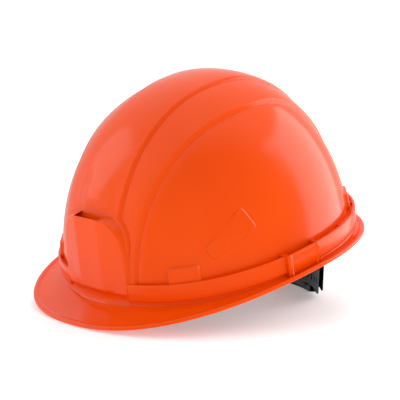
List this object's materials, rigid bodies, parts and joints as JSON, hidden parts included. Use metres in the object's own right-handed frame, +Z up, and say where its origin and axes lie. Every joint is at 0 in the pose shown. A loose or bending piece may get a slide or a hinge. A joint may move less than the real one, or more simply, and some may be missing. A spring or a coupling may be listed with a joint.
{
  "type": "work helmet",
  "caption": "Moulded work helmet with peaked brim, stepped crown ridge, rain gutter, front lamp pocket, side accessory slots, textile suspension and knob-adjusted nape strap.",
  "frame": {"origin": "centre of the bottom of the bounding box, with the helmet standing nose down on its brim tip and nape adjuster", "axes": "+X the wearer's left, -Y the wearer's front, +Z up from the table"},
  "size_m": [0.229, 0.2741, 0.1871],
  "materials": {
    "shell_plastic": "glossy moulded polyethylene, orange",
    "band_plastic": "satin black moulded plastic",
    "gear_plastic": "natural acetal",
    "webbing": "woven polyester webbing, charcoal",
    "padding": "foam-backed knit, black",
    "steel": "zinc plated"
  },
  "bodies": {
    "helmet": {"shell": "shell_plastic", "headband": "band_plastic", "sweatband": "padding", "crown_strap_cross_a": "webbing", "crown_strap_cross_b": "webbing", "crown_strap_side": "webbing", "crown_keeper": "band_plastic", "crown_pad": "padding", "hanger_front_left": "band_plastic", "hanger_front_right": "band_plastic", "hanger_side_left": "band_plastic", "hanger_side_right": "band_plastic", "hanger_rear_left": "band_plastic", "hanger_rear_right": "band_plastic"},
    "swivels": {"swivel_pin_left": "band_plastic", "swivel_pin_right": "band_plastic"},
    "adjuster": {"adjuster_back": "band_plastic", "adjuster_cover": "band_plastic", "nape_pad": "padding"},
    "left_nape_strap": {"strap_left": "band_plastic"},
    "right_nape_strap": {"strap_right": "band_plastic"},
    "size_knob": {"knob": "band_plastic", "knob_screw": "steel", "pinion": "gear_plastic", "pawl_spring": "gear_plastic"}
  },
  "joints": [
    {"name": "nape_tilt", "type": "hinge", "parent": "helmet", "child": "swivels", "pos_m": [0, 0.0237, 0.0403], "axis": [1, 0, 0], "range_deg": [-12, 12]},
    {"name": "nape_size", "type": "slide", "parent": "swivels", "child": "adjuster", "axis": [0, -1, 0], "range_m": [-0.0215, 0.0215]},
    {"name": "strap_left_draw", "type": "hinge", "parent": "adjuster", "child": "left_nape_strap", "pos_m": [0, 0.0237, 0.016], "axis": [0, 0, 1], "range_deg": [-15.2, 15.2]},
    {"name": "strap_right_draw", "type": "hinge", "parent": "adjuster", "child": "right_nape_strap", "pos_m": [0, 0.0237, 0.016], "axis": [0, 0, 1], "range_deg": [-15.2, 15.2]},
    {"name": "knob_turn", "type": "hinge", "parent": "adjuster", "child": "size_knob", "pos_m": [0, 0.1137, 0.016], "axis": [0, 1, 0], "range_deg": [-250, 250]}
  ],
  "couplings": [
    {"joint": "strap_left_draw", "follows": "nape_size", "rad_per_m": 12.129},
    {"joint": "strap_right_draw", "follows": "nape_size", "rad_per_m": -11.898},
    {"joint": "knob_turn", "follows": "nape_size", "rad_per_m": 200}
  ]
}
